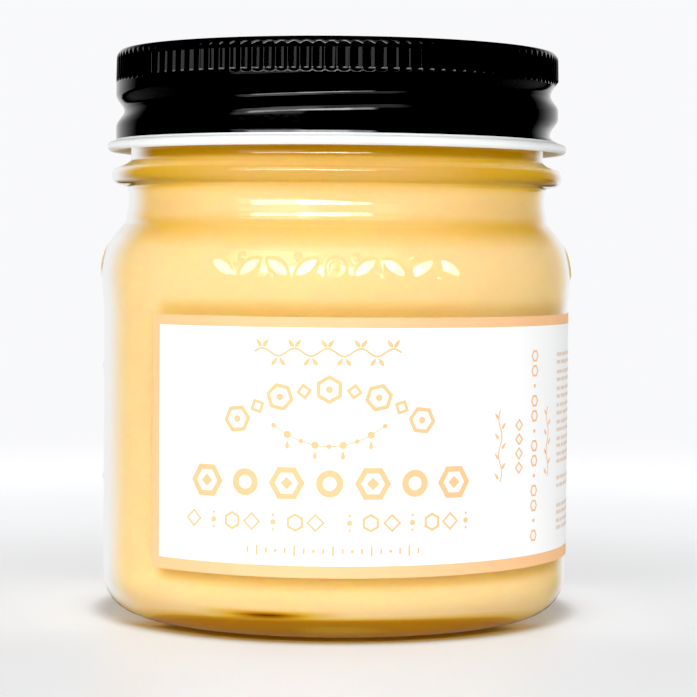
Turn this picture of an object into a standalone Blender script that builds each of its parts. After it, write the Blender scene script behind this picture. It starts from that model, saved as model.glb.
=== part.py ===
"""Screw-top jar of creamed honey: glass jar, honey, metal screw cap and paper label.

Metres, +Z up. The origin is the centre of the circle that the jar stands on. The label's
front faces -Y and +X is on its right.
"""
import math

import bmesh
import bpy
import numpy as np
from mathutils import Matrix

# Overall
CLEARANCE = 0.0003          # gap between pieces that touch
MERGE = 0.00001             # merge distance of the turned shapes
SMOOTH_ANGLE = 35.0         # faces that meet at less than this are shaded smooth
JAR_STEPS = 52              # flats round the glass and the honey
CAP_STEPS = 56              # flats round the cap

# Glass body, from the standing ring up to the shoulder
BODY_RADIUS = 0.03695
HEEL_RADIUS = 0.0058
RING_INNER_RADIUS = 0.0294  # inner edge of the flat ring that the jar stands on
RING_SLOPE = 0.00115
PUSH_UP_HEIGHT = 0.00185
BODY_TOP_Z = 0.0484
SHOULDER_RADIUS = 0.0373
SHOULDER_Z = 0.05285        # height of the shoulder's widest circle
SHOULDER_REACH = 0.0053
SHOULDER_RISE = 0.00885
SHOULDER_TOP_ANGLE = 61.5   # degrees of the shoulder's arc that show

# Glass neck and its bead
NECK_RADIUS = 0.03315
NECK_FOOT_Z = 0.06265
NECK_RIDGE_WIDTH = 0.0003   # slight ridge where the neck meets the shoulder
NECK_RIDGE_FALL = 0.0006
BEAD_RADIUS = 0.0359
BEAD_Z = 0.0690
BEAD_HALF_HEIGHT = 0.0014
BEAD_REACH = 0.00175        # depth of the bead's round part
BEAD_FOOT = 0.0003
COLLAR_RADIUS = 0.0328      # plain neck between the bead and the cap
COLLAR_FOOT_Z = 0.0712
COLLAR_TOP_Z = 0.0739
COLLAR_LEDGE_WIDTH = 0.00085  # ledge between the collar and the bead
COLLAR_LEDGE_FALL = 0.0002

# Glass finish, which the cap covers
FINISH_RADIUS = 0.0321
FINISH_FOOT_Z = 0.0749
RIM_Z = 0.0878
RIM_ROUND = 0.00085
MOUTH_RADIUS = 0.0295

# Hollow of the glass
WALL_RADIUS = 0.0343
FLOOR_Z = 0.0036
FLOOR_RISE = 0.00095
HOLLOW_HEEL = 0.00535
THROAT_RADIUS = 0.0300
THROAT_Z = 0.06305
HOLLOW_SHOULDER_Z = 0.04995

# Honey
HONEY_LEVEL_Z = 0.0844
HONEY_EDGE = 0.0008         # bevel round its surface

# Screw cap of sheet metal
CAP_TOP_Z = 0.08875
CAP_SHEET = 0.0006
CAP_PANEL_DROP = 0.0005     # the top panel lies this far below the cap's edge
CAP_PANEL_RADIUS = 0.0284
CAP_EDGE_RADIUS = 0.03515
CAP_EDGE_ROUND = 0.00085
CAP_SKIRT_RADIUS = 0.0352
CAP_UNDERSIDE_Z = 0.0881
CURL_RADIUS = 0.03655       # outermost circle of the rolled edge
CURL_TUBE = 0.00075
CURL_Z = 0.07355

# Fluted band of the cap
FLUTES = 120
FLUTE_PEAK = 0.0351
FLUTE_VALLEY = 0.0348
FLUTE_WALL = 0.03475        # plain wall behind the flutes
FLUTE_FOOT_Z = 0.0839
FLUTE_TOP_Z = 0.08785
FLUTE_LAP = 0.0001          # how far the band laps over the edges of its seat

# Thread, one start, right-handed
PITCH = 0.00635
GROOVE_Z = 0.0823           # height of the cap's rolled groove at +X
GROOVE_DEPTH = 0.0013
GROOVE_HALF_WIDTH = 0.0025
GROOVE_START = 22.0         # degrees from +X
GROOVE_END = -398.0
GROOVE_FADE = 30.0
SKIRT_TOP_Z = 0.0836
SKIRT_FOOT_Z = 0.0749
SKIRT_ROWS = 9
RIDGE_RADIUS = 0.03385      # crest of the thread on the glass
RIDGE_ROOT_RADIUS = 0.0316
RIDGE_FOOT = 0.00125        # half of its width at the root
RIDGE_CREST = 0.0006        # half of its width at the crest
RIDGE_START = -30.0
RIDGE_END = -450.0
RIDGE_STEP = 7.5
RIDGE_SUNK = 0.0003         # what is left of its height at its two ends

# Paper label
LABEL_FOOT_Z = 0.0096
LABEL_TOP_Z = 0.0477
LABEL_LEFT = -137.5         # degrees from +X
LABEL_RIGHT = 57.0
LABEL_THICKNESS = 0.0003
LABEL_STEPS = 39

# Raised ornament on the shoulder
LEAVES = 9
LEAF_SPACING = 6.6          # degrees
LEAF_Z = 0.0549
LEAF_SEAT_RADIUS = 0.03685
LEAF_SIZE = (0.0010, 0.0019, 0.0019)
MEDALLION_Z = 0.0556
MEDALLION_SEAT_RADIUS = 0.03665
MEDALLION_SIZE = (0.0011, 0.0035, 0.0027)


def material(name, colour, roughness, metallic=0.0, transmission=0.0):
    """A Principled material of one colour."""
    made = bpy.data.materials.new(name)
    made.use_nodes = True
    shader = made.node_tree.nodes["Principled BSDF"]
    shader.inputs["Base Color"].default_value = (*colour, 1.0)
    shader.inputs["Roughness"].default_value = roughness
    shader.inputs["Metallic"].default_value = metallic
    shader.inputs["Transmission Weight"].default_value = transmission
    return made


def arc(centre, radii, start, end, count):
    """Points of an elliptical arc in the X-Z plane, both ends included, angles in degrees."""
    turns = np.radians(np.linspace(start, end, count))
    return [(centre[0] + radii[0] * math.cos(turn), centre[1] + radii[1] * math.sin(turn))
            for turn in turns]


def hollow_section():
    """Section of the jar's hollow, from the middle of its floor up to the throat."""
    floor = [(0.0, FLOOR_Z + FLOOR_RISE), (0.6 * WALL_RADIUS, FLOOR_Z + 0.6 * FLOOR_RISE)]
    heel_centre = (WALL_RADIUS - HOLLOW_HEEL, FLOOR_Z + HOLLOW_HEEL)
    heel = arc(heel_centre, (HOLLOW_HEEL, HOLLOW_HEEL), -90, 0, 3)
    shoulder_radii = (WALL_RADIUS - THROAT_RADIUS, THROAT_Z - HOLLOW_SHOULDER_Z)
    shoulder = arc((THROAT_RADIUS, HOLLOW_SHOULDER_Z), shoulder_radii, 0, 90, 5)
    return floor + heel + shoulder


def outer_section():
    """Section of the jar's outside, from the rim down to the middle of the push-up."""
    finish = [(FINISH_RADIUS, FINISH_FOOT_Z), (COLLAR_RADIUS, COLLAR_TOP_Z),
              (COLLAR_RADIUS, COLLAR_FOOT_Z),
              (COLLAR_RADIUS + COLLAR_LEDGE_WIDTH, COLLAR_FOOT_Z - COLLAR_LEDGE_FALL)]
    bead = arc((BEAD_RADIUS - BEAD_REACH, BEAD_Z), (BEAD_REACH, BEAD_HALF_HEIGHT), 80, -90, 6)
    neck = [(NECK_RADIUS, BEAD_Z - BEAD_HALF_HEIGHT - BEAD_FOOT), (NECK_RADIUS, NECK_FOOT_Z),
            (NECK_RADIUS + NECK_RIDGE_WIDTH, NECK_FOOT_Z - NECK_RIDGE_FALL)]
    shoulder_centre = (SHOULDER_RADIUS - SHOULDER_REACH, SHOULDER_Z)
    shoulder = arc(shoulder_centre, (SHOULDER_REACH, SHOULDER_RISE),
                   SHOULDER_TOP_ANGLE, 0, 6)
    body_fillet = arc((BODY_RADIUS, SHOULDER_Z), (SHOULDER_RADIUS - BODY_RADIUS,
                                                  SHOULDER_Z - BODY_TOP_Z), -35, -90, 2)
    heel = arc((BODY_RADIUS - HEEL_RADIUS, HEEL_RADIUS), (HEEL_RADIUS, HEEL_RADIUS), 0, -90, 5)
    base = [(RING_INNER_RADIUS, 0.0), (RING_INNER_RADIUS - RING_SLOPE, 0.5 * PUSH_UP_HEIGHT),
            (0.6 * RING_INNER_RADIUS, 0.9 * PUSH_UP_HEIGHT), (0.0, PUSH_UP_HEIGHT)]
    return finish + bead + neck + shoulder + body_fillet + heel + base


def jar_section():
    """Whole section of the glass: up the hollow, over the rim and down the outside."""
    lip_z = RIM_Z - RIM_ROUND
    rim_radii = (RIM_ROUND, RIM_ROUND)
    lip = arc((MOUTH_RADIUS + RIM_ROUND, lip_z), rim_radii, 180, 90, 3)
    brim = arc((FINISH_RADIUS - RIM_ROUND, lip_z), rim_radii, 90, 0, 3)
    return hollow_section() + lip + brim + outer_section()


def honey_section():
    """Section of the honey, which stands a clearance inside the hollow, from its top down."""
    wall = np.array(hollow_section() + [(MOUTH_RADIUS, RIM_Z)])
    along = np.gradient(wall, axis=0)
    along /= np.linalg.norm(along, axis=1, keepdims=True)
    inset = wall + CLEARANCE * np.column_stack([-along[:, 1], along[:, 0]])
    inset[0] = (0.0, wall[0, 1] + CLEARANCE)
    neck_fall = (HONEY_LEVEL_Z - THROAT_Z) / (RIM_Z - THROAT_Z)
    top_radius = THROAT_RADIUS + neck_fall * (MOUTH_RADIUS - THROAT_RADIUS) - CLEARANCE
    top = [(0.0, HONEY_LEVEL_Z), (top_radius - HONEY_EDGE, HONEY_LEVEL_Z),
           (top_radius, HONEY_LEVEL_Z - HONEY_EDGE)]
    return top + [tuple(point) for point in inset[-2::-1]]


def skirt_rows():
    """Heights of the rows of points in the cap's skirt, from its top down."""
    return np.linspace(SKIRT_TOP_Z, SKIRT_FOOT_Z, SKIRT_ROWS)


def cap_section():
    """Section of the cap: across its top, down the skirt, round the curl and up inside."""
    panel_z = CAP_TOP_Z - CAP_PANEL_DROP
    ring_radius = CAP_PANEL_RADIUS + 2 * CAP_PANEL_DROP
    edge_centre = (CAP_EDGE_RADIUS - CAP_EDGE_ROUND, CAP_TOP_Z - CAP_EDGE_ROUND)
    top = [(0.0, panel_z), (CAP_PANEL_RADIUS, panel_z), (ring_radius, CAP_TOP_Z)]
    edge = arc(edge_centre, (CAP_EDGE_ROUND, CAP_EDGE_ROUND), 90, 0, 4)
    flute_wall = [(FLUTE_WALL, FLUTE_TOP_Z - FLUTE_LAP), (FLUTE_WALL, FLUTE_FOOT_Z + FLUTE_LAP)]
    outside = [(CAP_SKIRT_RADIUS, z) for z in skirt_rows()]
    curl_centre = (CURL_RADIUS - CURL_TUBE, CURL_Z)
    curl = arc(curl_centre, (CURL_TUBE, CURL_TUBE), 125, -180, 8)
    inside_radius = CAP_SKIRT_RADIUS - CAP_SHEET
    inside = [(inside_radius, z) for z in skirt_rows()[::-1]]
    corner_radius = FLUTE_WALL - CAP_SHEET
    corner = [(corner_radius, FLUTE_FOOT_Z + FLUTE_LAP),
              (corner_radius, CAP_UNDERSIDE_Z - CAP_SHEET),
              (corner_radius - CAP_SHEET, CAP_UNDERSIDE_Z)]
    underside = [(ring_radius, CAP_UNDERSIDE_Z),
                 (CAP_PANEL_RADIUS, CAP_UNDERSIDE_Z - CAP_PANEL_DROP),
                 (0.0, CAP_UNDERSIDE_Z - CAP_PANEL_DROP)]
    return top + edge + flute_wall + outside + curl + inside + corner + underside


def turned(name, section, steps, sweep=360.0, start=0.0, closed=False):
    """An object turned about Z from a section that runs down its outer side."""
    count = len(section)
    edges = [(i, i + 1) for i in range(count - 1)]
    if closed:
        edges.append((count - 1, 0))
    mesh = bpy.data.meshes.new(name)
    mesh.from_pydata([(x, 0.0, z) for x, z in section], edges, [])
    piece = bpy.data.objects.new(name, mesh)
    piece.rotation_euler.z = math.radians(start)
    bpy.context.scene.collection.objects.link(piece)
    screw = piece.modifiers.new("Turn", "SCREW")
    screw.axis = "Z"
    screw.angle = math.radians(sweep)
    screw.steps = steps
    screw.render_steps = steps
    screw.use_merge_vertices = True
    screw.merge_threshold = MERGE
    return piece


def applied(piece):
    """The same object with its modifiers made part of its mesh."""
    graph = bpy.context.evaluated_depsgraph_get()
    mesh = bpy.data.meshes.new_from_object(piece.evaluated_get(graph))
    mesh.name = piece.name
    piece.modifiers.clear()
    piece.data = mesh
    return piece


def placed(piece, collection, finish):
    """Moves a finished object to its collection, gives it its material and shades it smooth."""
    for old in list(piece.users_collection):
        old.objects.unlink(piece)
    collection.objects.link(piece)
    piece.data.materials.clear()
    piece.data.materials.append(finish)
    piece.data.shade_smooth()
    if len(piece.data.polygons) > 0:
        piece.data.set_sharp_from_angle(angle=math.radians(SMOOTH_ANGLE))


def united(piece, shapes):
    """Joins closed shapes to an object by one Boolean union and removes them."""
    group = bpy.data.collections.new(piece.name + " additions")
    bpy.context.scene.collection.children.link(group)
    for shape in shapes:
        for old in list(shape.users_collection):
            old.objects.unlink(shape)
        group.objects.link(shape)
    union = piece.modifiers.new("Join", "BOOLEAN")
    union.operation = "UNION"
    union.operand_type = "COLLECTION"
    union.collection = group
    union.solver = "EXACT"
    applied(piece)
    for shape in shapes:
        bpy.data.objects.remove(shape)
    bpy.data.collections.remove(group)
    return piece


def helix_height(degrees):
    """Height of the cap's groove at an angle from +X: it climbs one pitch a turn."""
    return GROOVE_Z + PITCH * degrees / 360.0


def groove_depth(angle, z):
    """How far the rolled groove pulls the skirt in: a round trough, faded at both ends."""
    depth = np.zeros_like(z)
    for turn in (-2, -1, 0, 1):
        along = angle + 360.0 * turn
        across = np.clip(np.abs(z - helix_height(along)) / GROOVE_HALF_WIDTH, 0.0, 1.0)
        ends = np.minimum(GROOVE_START - along, along - GROOVE_END) / GROOVE_FADE
        fade = np.clip(ends, 0.0, 1.0)
        trough = GROOVE_DEPTH * np.cos(0.5 * math.pi * across) ** 2 * fade
        depth = np.maximum(depth, trough)
    return depth


def roll_groove(piece):
    """Presses the helical groove into both faces of the cap's skirt."""
    points = np.empty(3 * len(piece.data.vertices))
    piece.data.vertices.foreach_get("co", points)
    points = points.reshape(-1, 3)
    radius = np.hypot(points[:, 0], points[:, 1])
    angle = np.degrees(np.arctan2(points[:, 1], points[:, 0]))
    in_skirt = (points[:, 2] < SKIRT_TOP_Z + MERGE) & (points[:, 2] > SKIRT_FOOT_Z - MERGE)
    depth = np.where(in_skirt, groove_depth(angle, points[:, 2]), 0.0)
    scale = (radius - depth) / np.maximum(radius, MERGE)
    points[:, :2] *= scale[:, None]
    piece.data.vertices.foreach_set("co", points.ravel())
    piece.data.update()


def fluted_band():
    """The cap's grip band: a ring whose outer wall waves in and out, one wave a flute."""
    inner = FLUTE_WALL - 0.5 * CAP_SHEET
    section = [(inner, FLUTE_TOP_Z), (FLUTE_PEAK, FLUTE_TOP_Z),
               (FLUTE_PEAK, FLUTE_FOOT_Z), (inner, FLUTE_FOOT_Z)]
    band = applied(turned("flutes", section, 2 * FLUTES, closed=True))
    middle = 0.5 * (FLUTE_PEAK + FLUTE_VALLEY)
    swing = 0.5 * (FLUTE_PEAK - FLUTE_VALLEY)
    for vertex in band.data.vertices:
        radius = math.hypot(vertex.co.x, vertex.co.y)
        if radius > 0.5 * (inner + FLUTE_PEAK):
            wave = middle + swing * math.cos(FLUTES * math.atan2(vertex.co.y, vertex.co.x))
            vertex.co.x *= wave / radius
            vertex.co.y *= wave / radius
    return band


def glass_thread():
    """The ridge that the cap's groove runs under: a helix whose crest sinks at both ends."""
    turns = np.arange(RIDGE_START, RIDGE_END - 0.5 * RIDGE_STEP, -RIDGE_STEP)
    points = []
    for turn in turns:
        ends = min(RIDGE_START - turn, turn - RIDGE_END) / GROOVE_FADE
        rise = min(1.0, ends)
        sunk_radius = RIDGE_ROOT_RADIUS + RIDGE_SUNK
        crest = sunk_radius + rise * (RIDGE_RADIUS - sunk_radius)
        height = helix_height(turn) + 0.5 * PITCH
        cosine = math.cos(math.radians(turn))
        sine = math.sin(math.radians(turn))
        for radius, offset in ((RIDGE_ROOT_RADIUS, RIDGE_FOOT), (crest, RIDGE_CREST),
                               (crest, -RIDGE_CREST), (RIDGE_ROOT_RADIUS, -RIDGE_FOOT)):
            points.append((radius * cosine, radius * sine, height + offset))
    faces = []
    for i in range(len(turns) - 1):
        for side in range(4):
            after = (side + 1) % 4
            faces.append((4 * i + side, 4 * i + after, 4 * i + 4 + after, 4 * i + 4 + side))
    last = 4 * (len(turns) - 1)
    faces.append((3, 2, 1, 0))
    faces.append((last, last + 1, last + 2, last + 3))
    mesh = bpy.data.meshes.new("ridge")
    mesh.from_pydata(points, [], faces)
    ridge_mesh = bmesh.new()
    ridge_mesh.from_mesh(mesh)
    bmesh.ops.recalc_face_normals(ridge_mesh, faces=ridge_mesh.faces)
    ridge_mesh.to_mesh(mesh)
    ridge_mesh.free()
    ridge = bpy.data.objects.new("ridge", mesh)
    bpy.context.scene.collection.objects.link(ridge)
    return ridge


def boss(name, degrees, seat_radius, z, size):
    """A low rounded boss on the glass, size as half of its depth, width and height."""
    ball = bmesh.new()
    bmesh.ops.create_icosphere(ball, subdivisions=1, radius=1.0)
    place = (Matrix.Rotation(math.radians(degrees), 4, "Z")
             @ Matrix.Translation((seat_radius, 0.0, z))
             @ Matrix.Diagonal((*size, 1.0)))
    bmesh.ops.transform(ball, matrix=place, verts=ball.verts)
    mesh = bpy.data.meshes.new(name)
    ball.to_mesh(mesh)
    ball.free()
    piece = bpy.data.objects.new(name, mesh)
    bpy.context.scene.collection.objects.link(piece)
    return piece


def shoulder_ornament():
    """A row of leaves at the front and the back, and an oval medallion on each side."""
    shapes = []
    for facing in (-90.0, 90.0):
        for i in range(LEAVES):
            degrees = facing + LEAF_SPACING * (i - 0.5 * (LEAVES - 1))
            shapes.append(boss("leaf", degrees, LEAF_SEAT_RADIUS, LEAF_Z, LEAF_SIZE))
    for facing in (0.0, 180.0):
        shapes.append(boss("medallion", facing, MEDALLION_SEAT_RADIUS, MEDALLION_Z,
                           MEDALLION_SIZE))
    return shapes


def make_jar(collection):
    """The clear glass jar with its thread and its raised ornament."""
    jar = applied(turned("jar", jar_section(), JAR_STEPS))
    united(jar, [glass_thread()] + shoulder_ornament())
    placed(jar, collection, material("clear glass", (0.95, 0.96, 0.94), 0.03, transmission=1.0))


def make_honey(collection):
    """The honey that fills the jar up to its level under the cap."""
    honey = turned("honey", honey_section(), JAR_STEPS)
    placed(honey, collection, material("creamed honey", (0.90, 0.60, 0.16), 0.35))


def make_cap(collection):
    """The black screw cap with its fluted band, rolled thread and curled edge."""
    cap = applied(turned("lid", cap_section(), CAP_STEPS))
    roll_groove(cap)
    united(cap, [fluted_band()])
    placed(cap, collection, material("black lacquered metal", (0.01, 0.01, 0.01), 0.2))


def make_label(collection):
    """The paper label, which wraps from the front's left round the right side."""
    inner_radius = BODY_RADIUS + CLEARANCE
    section = [(inner_radius, LABEL_TOP_Z), (inner_radius, LABEL_FOOT_Z)]
    sweep = LABEL_RIGHT - LABEL_LEFT
    label = turned("label", section, LABEL_STEPS, sweep=sweep, start=LABEL_LEFT)
    shell = label.modifiers.new("Paper", "SOLIDIFY")
    shell.thickness = LABEL_THICKNESS
    shell.offset = 1.0
    placed(label, collection, material("label paper", (0.93, 0.92, 0.90), 0.5))


def main():
    """Builds the whole object."""
    for old in list(bpy.data.objects):
        bpy.data.objects.remove(old)
    collection = bpy.data.collections.new("honey jar")
    bpy.context.scene.collection.children.link(collection)
    make_jar(collection)
    make_honey(collection)
    make_cap(collection)
    make_label(collection)


main()
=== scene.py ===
import math

import bmesh
import bpy
import numpy as np
from mathutils import Matrix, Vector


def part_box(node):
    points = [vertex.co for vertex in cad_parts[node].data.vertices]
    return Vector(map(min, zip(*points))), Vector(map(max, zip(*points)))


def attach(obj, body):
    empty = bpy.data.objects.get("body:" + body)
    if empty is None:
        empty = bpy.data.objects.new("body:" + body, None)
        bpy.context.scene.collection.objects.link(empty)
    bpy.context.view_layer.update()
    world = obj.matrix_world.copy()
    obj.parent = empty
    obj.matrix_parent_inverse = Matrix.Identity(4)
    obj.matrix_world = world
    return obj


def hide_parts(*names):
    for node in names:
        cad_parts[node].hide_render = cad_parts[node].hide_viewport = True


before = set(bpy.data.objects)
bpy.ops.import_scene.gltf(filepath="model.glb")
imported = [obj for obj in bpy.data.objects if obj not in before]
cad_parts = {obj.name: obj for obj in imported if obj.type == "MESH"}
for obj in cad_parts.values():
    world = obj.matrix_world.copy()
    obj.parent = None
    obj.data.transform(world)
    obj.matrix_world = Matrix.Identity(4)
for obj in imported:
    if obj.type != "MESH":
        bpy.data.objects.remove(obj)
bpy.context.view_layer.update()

# Glass jar
# A pressed jar of clear soda-lime glass: one closed skin that runs up the hollow, over the
# rim, down the outside and under the push-up. The mould leaves a row of raised leaves at
# the front and back of the shoulder, an oval medallion on each side and two parting lines.

RIM_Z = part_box("jar")[1][2]   # top of the jar's box
RIM_ROUND = 0.00085
BODY_RADIUS = 0.03695
SHOULDER_CENTRE = (0.0320, 0.05285)
SHOULDER_RADII = (0.0053, 0.00885)
HEEL_RADIUS = 0.0058
FINISH_RADIUS = 0.0321
COLLAR_RADIUS = 0.0328
BEAD_Z = 0.0690
WALL_RADIUS = 0.0343
THROAT_RADIUS = 0.0300
MOUTH_RADIUS = 0.0295
GLASS_SOFTNESS = 0.00028      # radius to which pressed glass rounds every corner
HOLLOW_SOFTNESS = 0.0004      # the same inside, where only air shapes the glass
FOCUS_RADIUS = 0.0318         # rows are packed closer only outside this radius
RELIEF_HEIGHT = 0.00045
FACET_LEAN = 5.6
RELIEF_Z = 0.0549
LEAF_SPACING = 6.6            # degrees
LEAF_LEAN = 38.0
LEAF_HALF_LENGTH = 0.0023
LEAF_HALF_WIDTH = 0.00125
ROSETTE_RADIUS = 0.0017
BERRY_RADIUS = 0.000725
TURNED_FROM = -17.0           # leaves outside this stretch are turned back towards it
TURNED_TO = 3.0
MEDALLION_HALF_WIDTH = 0.0049
MEDALLION_HALF_HEIGHT = 0.0028
RUNG_HEIGHTS = (0.0388, 0.0213)
RUNG_HALF_LENGTH = 0.0036
FRONT = -90.0                 # directions seen from above, in degrees from +X
BACK = 90.0
RIGHT = 0.0
LEFT = 180.0
PITCH = 0.00635
GROOVE_Z = 0.0823             # height of the cap's rolled groove at +X
THREAD_HEIGHT = 0.00165


def arc(centre, radii, start, end, count):
    """Points of an elliptical arc: centre + (a cos t, b sin t), t from start to end degrees."""
    turns = np.radians(np.linspace(start, end, count))
    return np.column_stack([centre[0] + radii[0] * np.cos(turns),
                            centre[1] + radii[1] * np.sin(turns)])


def line(*points):
    """Points of a straight-sided stretch of an outline."""
    return np.array(points, dtype=float)


def softened(outline, softness, step=0.00005):
    """The outline walked in even steps, each point averaged over a bell of width softness."""
    gaps = np.hypot(*np.diff(outline, axis=0).T)
    length = np.concatenate([[0.0], np.cumsum(gaps)])
    walk = np.arange(0.0, length[-1], step)
    walk = np.append(walk, length[-1])
    even = np.column_stack([np.interp(walk, length, outline[:, k]) for k in (0, 1)])
    reach = int(3 * softness / step)
    bell = np.exp(-0.5 * (np.arange(-reach, reach + 1) * step / softness) ** 2)
    bell /= bell.sum()
    before = np.array([-1.0, 1.0]) * (even[reach:0:-1] - even[0]) + even[0]
    after = np.array([-1.0, 1.0]) * (even[-2:-reach - 2:-1] - even[-1]) + even[-1]
    padded = np.vstack([before, even, after])
    return np.column_stack([np.convolve(padded[:, k], bell, mode="valid") for k in (0, 1)])


def rows_along(outline, count, bend_share=0.55, focus=()):
    """Picks count points of a fine outline, closer together where it bends and near the
    heights in focus, each given as (height, half width, share of the points).
    """
    ahead = np.gradient(outline, axis=0)
    pace = np.hypot(ahead[:, 0], ahead[:, 1])
    heading = np.unwrap(np.arctan2(ahead[:, 1], ahead[:, 0]))
    bend = np.abs(np.gradient(heading))
    weight = (1.0 - bend_share) * pace / pace.sum() + bend_share * bend / max(bend.sum(), 1e-9)
    for height, half, share in focus:
        near = (np.abs(outline[:, 1] - height) < half) & (outline[:, 0] > FOCUS_RADIUS)
        weight = weight + share * near * pace / max((near * pace).sum(), 1e-9)
    travel = np.concatenate([[0.0], np.cumsum(weight[1:])])
    stops = np.linspace(0.0, travel[-1], count)
    return np.column_stack([np.interp(stops, travel, outline[:, k]) for k in (0, 1)])


def grid_mesh(name, points, around=False, facets=None):
    """A mesh object from a grid of points (rows, columns, 3): each cell is one face, and
    around joins the last column to the first. Points that coincide at a pole are merged.
    """
    rows, columns = points.shape[:2]
    index = np.arange(rows * columns).reshape(rows, columns)
    if around:
        index = np.column_stack([index, index[:, 0]])
    corners = np.stack([index[:-1, :-1], index[:-1, 1:], index[1:, 1:], index[1:, :-1]], axis=-1)
    quads = corners.reshape(-1, 4)
    mesh = bpy.data.meshes.new(name)
    mesh.vertices.add(rows * columns)
    mesh.vertices.foreach_set("co", points.reshape(-1).astype(np.float32))
    mesh.loops.add(quads.size)
    mesh.loops.foreach_set("vertex_index", quads.reshape(-1).astype(np.int32))
    mesh.polygons.add(len(quads))
    mesh.polygons.foreach_set("loop_start", np.arange(0, quads.size, 4, dtype=np.int32))
    if facets is not None:
        mesh.polygons.foreach_set("material_index", facets.reshape(-1).astype(np.int32))
    mesh.update(calc_edges=True)
    welded = bmesh.new()
    welded.from_mesh(mesh)
    bmesh.ops.remove_doubles(welded, verts=welded.verts, dist=1e-7)
    bmesh.ops.recalc_face_normals(welded, faces=welded.faces)
    welded.to_mesh(mesh)
    welded.free()
    mesh.shade_smooth()
    piece = bpy.data.objects.new(name, mesh)
    bpy.context.scene.collection.objects.link(piece)
    return piece


def turned(section, degrees, lift=None):
    """Grid of a section (radius, height) carried round Z through the given angles; lift adds
    to the radius of each point.
    """
    turns = np.radians(degrees)[None, :]
    radius = section[:, 0:1] + (0.0 if lift is None else lift)
    height = np.broadcast_to(section[:, 1:2], (len(section), len(degrees)))
    return np.stack([radius * np.cos(turns), radius * np.sin(turns), height], axis=-1)


def bump(distance):
    """A smooth hill: 1 at distance 0, falling as (1 - d^2)^2 to 0 at distance 1."""
    return np.clip(1.0 - distance ** 2, 0.0, None) ** 2


def leaf_mask(u, v, lean, half_length, half_width):
    """Where a leaf centred at u = v = 0 stands: 1 on its top, falling to 0 at its outline of
    two parabolas that meet in points.
    """
    lean = math.radians(lean)
    along = (u * math.cos(lean) + v * math.sin(lean)) / half_length
    across = (v * math.cos(lean) - u * math.sin(lean)) / half_width
    width = np.clip(1.0 - along ** 2, 1e-6, None)
    share = np.clip(np.abs(across) / width, 0.0, 1.0)
    return np.clip(2.2 * (1.0 - share ** 2), 0.0, 1.0) * np.clip(3.0 * width, 0.0, 1.0)


def facet(u, v, middle, tilt):
    """Height of a flat top over the round shoulder: a plane through a point RELIEF_HEIGHT
    above it that leans back by FACET_LEAN and is turned by tilt degrees about the upright.
    """
    rise = np.clip((middle + v - SHOULDER_CENTRE[1]) / SHOULDER_RADII[1], -1.0, 1.0)
    below = np.clip((middle - SHOULDER_CENTRE[1]) / SHOULDER_RADII[1], -1.0, 1.0)
    sag = SHOULDER_RADII[0] * (np.sqrt(1.0 - rise ** 2) - math.sqrt(1.0 - below ** 2))
    plane = RELIEF_HEIGHT - math.tan(math.radians(FACET_LEAN)) * v - sag
    plane = plane - u ** 2 / (2.0 * BODY_RADIUS) + math.tan(math.radians(tilt)) * u
    return np.clip(plane, 0.0, 2.2 * RELIEF_HEIGHT)


def glass_thread(degrees, height):
    """The single-start ridge on the finish, half a pitch above the cap's groove."""
    ridge = np.zeros(np.broadcast_shapes(degrees.shape, height.shape))
    for turn in (-2, -1, 0, 1):
        along = degrees + 360.0 * turn
        centre = GROOVE_Z + PITCH * along / 360.0 + 0.5 * PITCH
        fade = np.clip(np.minimum(-30.0 - along, along + 450.0) / 30.0, 0.0, 1.0)
        ridge = np.maximum(ridge, fade * bump((height - centre) / 0.0015))
    return THREAD_HEIGHT * ridge


def from_facing(degrees, facing):
    """The turn from a facing direction, between -180 and 180 degrees."""
    return (degrees - facing + 180.0) % 360.0 - 180.0


def shoulder_relief(degrees, height):
    """Everything the mould raises on the outside, as a height above the turned surface."""
    raised = np.zeros(np.broadcast_shapes(degrees.shape, height.shape))
    v = height - RELIEF_Z
    # a rosette between two rows of four leaves, with a berry between neighbours
    for facing in (FRONT, BACK):
        u = np.radians(from_facing(degrees, facing)) * BODY_RADIUS
        for k in range(-4, 5):
            spot = LEAF_SPACING * k
            tilt = spot - min(max(spot, TURNED_FROM), TURNED_TO)
            across = u - math.radians(spot) * BODY_RADIUS
            if k == 0:
                apart = np.hypot(across, v) / ROSETTE_RADIUS
                mask = np.clip(2.2 * (1.0 - apart ** 2), 0.0, 1.0)
                mask = mask * np.clip(0.25 + 1.6 * np.abs(apart - 0.45), 0.0, 1.0)
            else:
                lean = LEAF_LEAN if k % 2 else -LEAF_LEAN
                mask = leaf_mask(across, v, lean, LEAF_HALF_LENGTH, LEAF_HALF_WIDTH)
            raised = np.maximum(raised, mask * facet(across, v, RELIEF_Z, tilt))
            if k > -4:
                up = 0.0015 if k % 2 else -0.0015
                berry = np.hypot(across + 0.0013, v - up) / BERRY_RADIUS
                raised = np.maximum(raised, 0.8 * RELIEF_HEIGHT * bump(berry))
    # on each side an oval of rings, and below it a long bar over a short one, twice
    for facing in (RIGHT, LEFT):
        u = np.radians(from_facing(degrees, facing)) * BODY_RADIUS
        oval = np.hypot(u / MEDALLION_HALF_WIDTH, (v - 0.0007) / MEDALLION_HALF_HEIGHT)
        for ring in (0.93, 0.66, 0.40):
            raised = np.maximum(raised, 0.00032 * bump((oval - ring) / 0.14))
        raised = np.maximum(raised, 0.00038 * bump(oval / 0.24))
        for rung in RUNG_HEIGHTS:
            long = bump((height - rung) / 0.0006)
            long = long * np.clip((RUNG_HALF_LENGTH - np.abs(u)) / 0.0006, 0, 1)
            short = bump((height - rung + 0.0016) / 0.0005)
            short = short * np.clip((0.002 - np.abs(u)) / 0.0006, 0, 1)
            raised = np.maximum(raised, np.maximum(0.0003 * long, 0.0002 * short))
    return raised


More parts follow.
